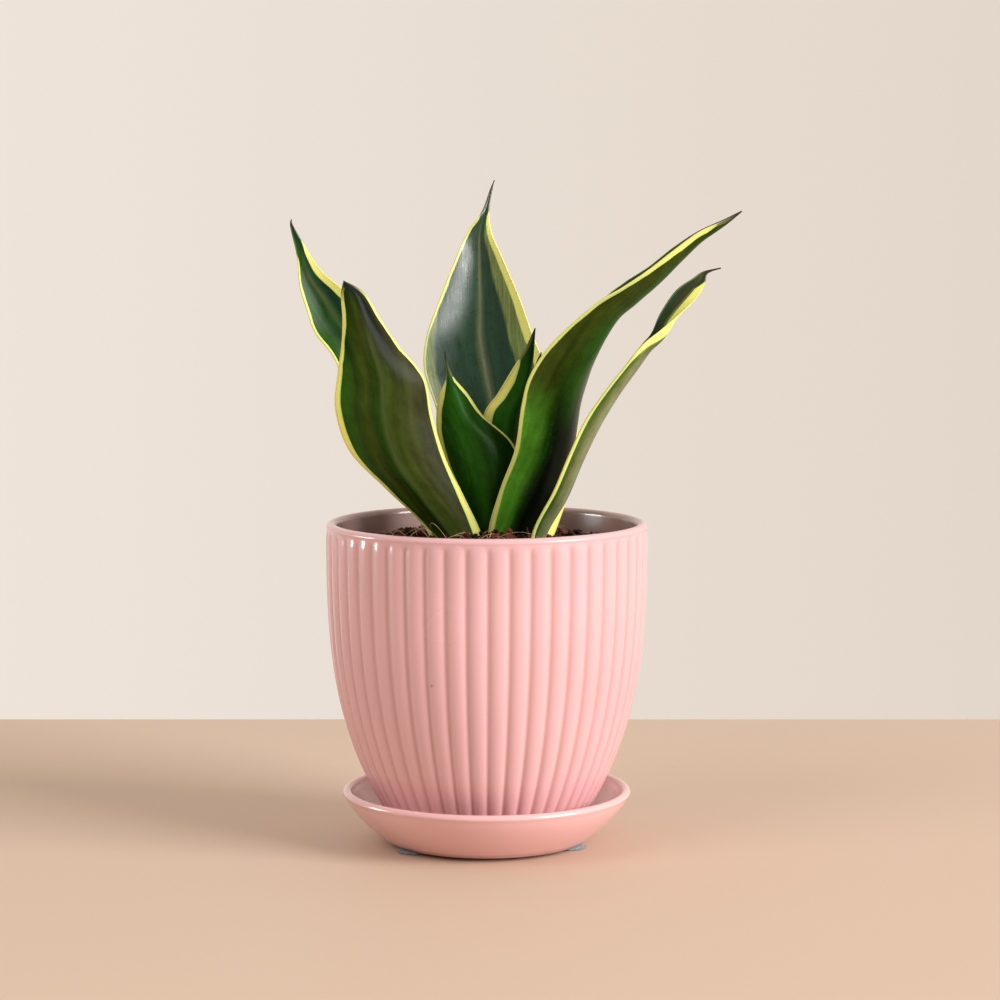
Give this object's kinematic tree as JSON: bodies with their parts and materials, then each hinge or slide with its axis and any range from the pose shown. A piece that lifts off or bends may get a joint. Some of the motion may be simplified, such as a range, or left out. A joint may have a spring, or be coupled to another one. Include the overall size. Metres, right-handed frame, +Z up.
{
  "type": "potted snake plant",
  "caption": "Dwarf variegated snake plant: an open rosette of stiff pointed leaves in a ribbed, tapering pink ceramic pot standing on its own drip saucer.",
  "frame": {"origin": "on the pot's axis, level with the surface the plant stands on (the undersides of the saucer's felt pads); the saucer's flat underside, the mount saucer_underside, is 1.5 mm above it", "axes": "+Z up along the pot's axis, -Y to the front, +X to the right seen from the front"},
  "size_m": [0.1677, 0.1202, 0.2483],
  "materials": {
    "pot_glaze": "satin-gloss powder pink glaze, grey-mauve inside",
    "saucer_glaze": "satin-gloss powder pink glaze",
    "pad_felt": "blue-grey felt",
    "potting_mix": "loose dark coir and bark mix",
    "root": "fibrous tan rhizome and roots",
    "leaf": "waxy dark green with yellow margins"
  },
  "bodies": {
    "root": {"pot": "pot_glaze", "saucer": "saucer_glaze", "saucer_pad_1": "pad_felt", "saucer_pad_2": "pad_felt", "saucer_pad_3": "pad_felt", "soil": "potting_mix", "rhizome": "root", "leaf_front_left": "leaf", "leaf_back_left": "leaf", "leaf_back_centre": "leaf", "leaf_inner_front": "leaf", "leaf_inner_back": "leaf", "leaf_inner_right": "leaf", "leaf_right": "leaf", "leaf_far_right": "leaf"}
  },
  "joints": []
}
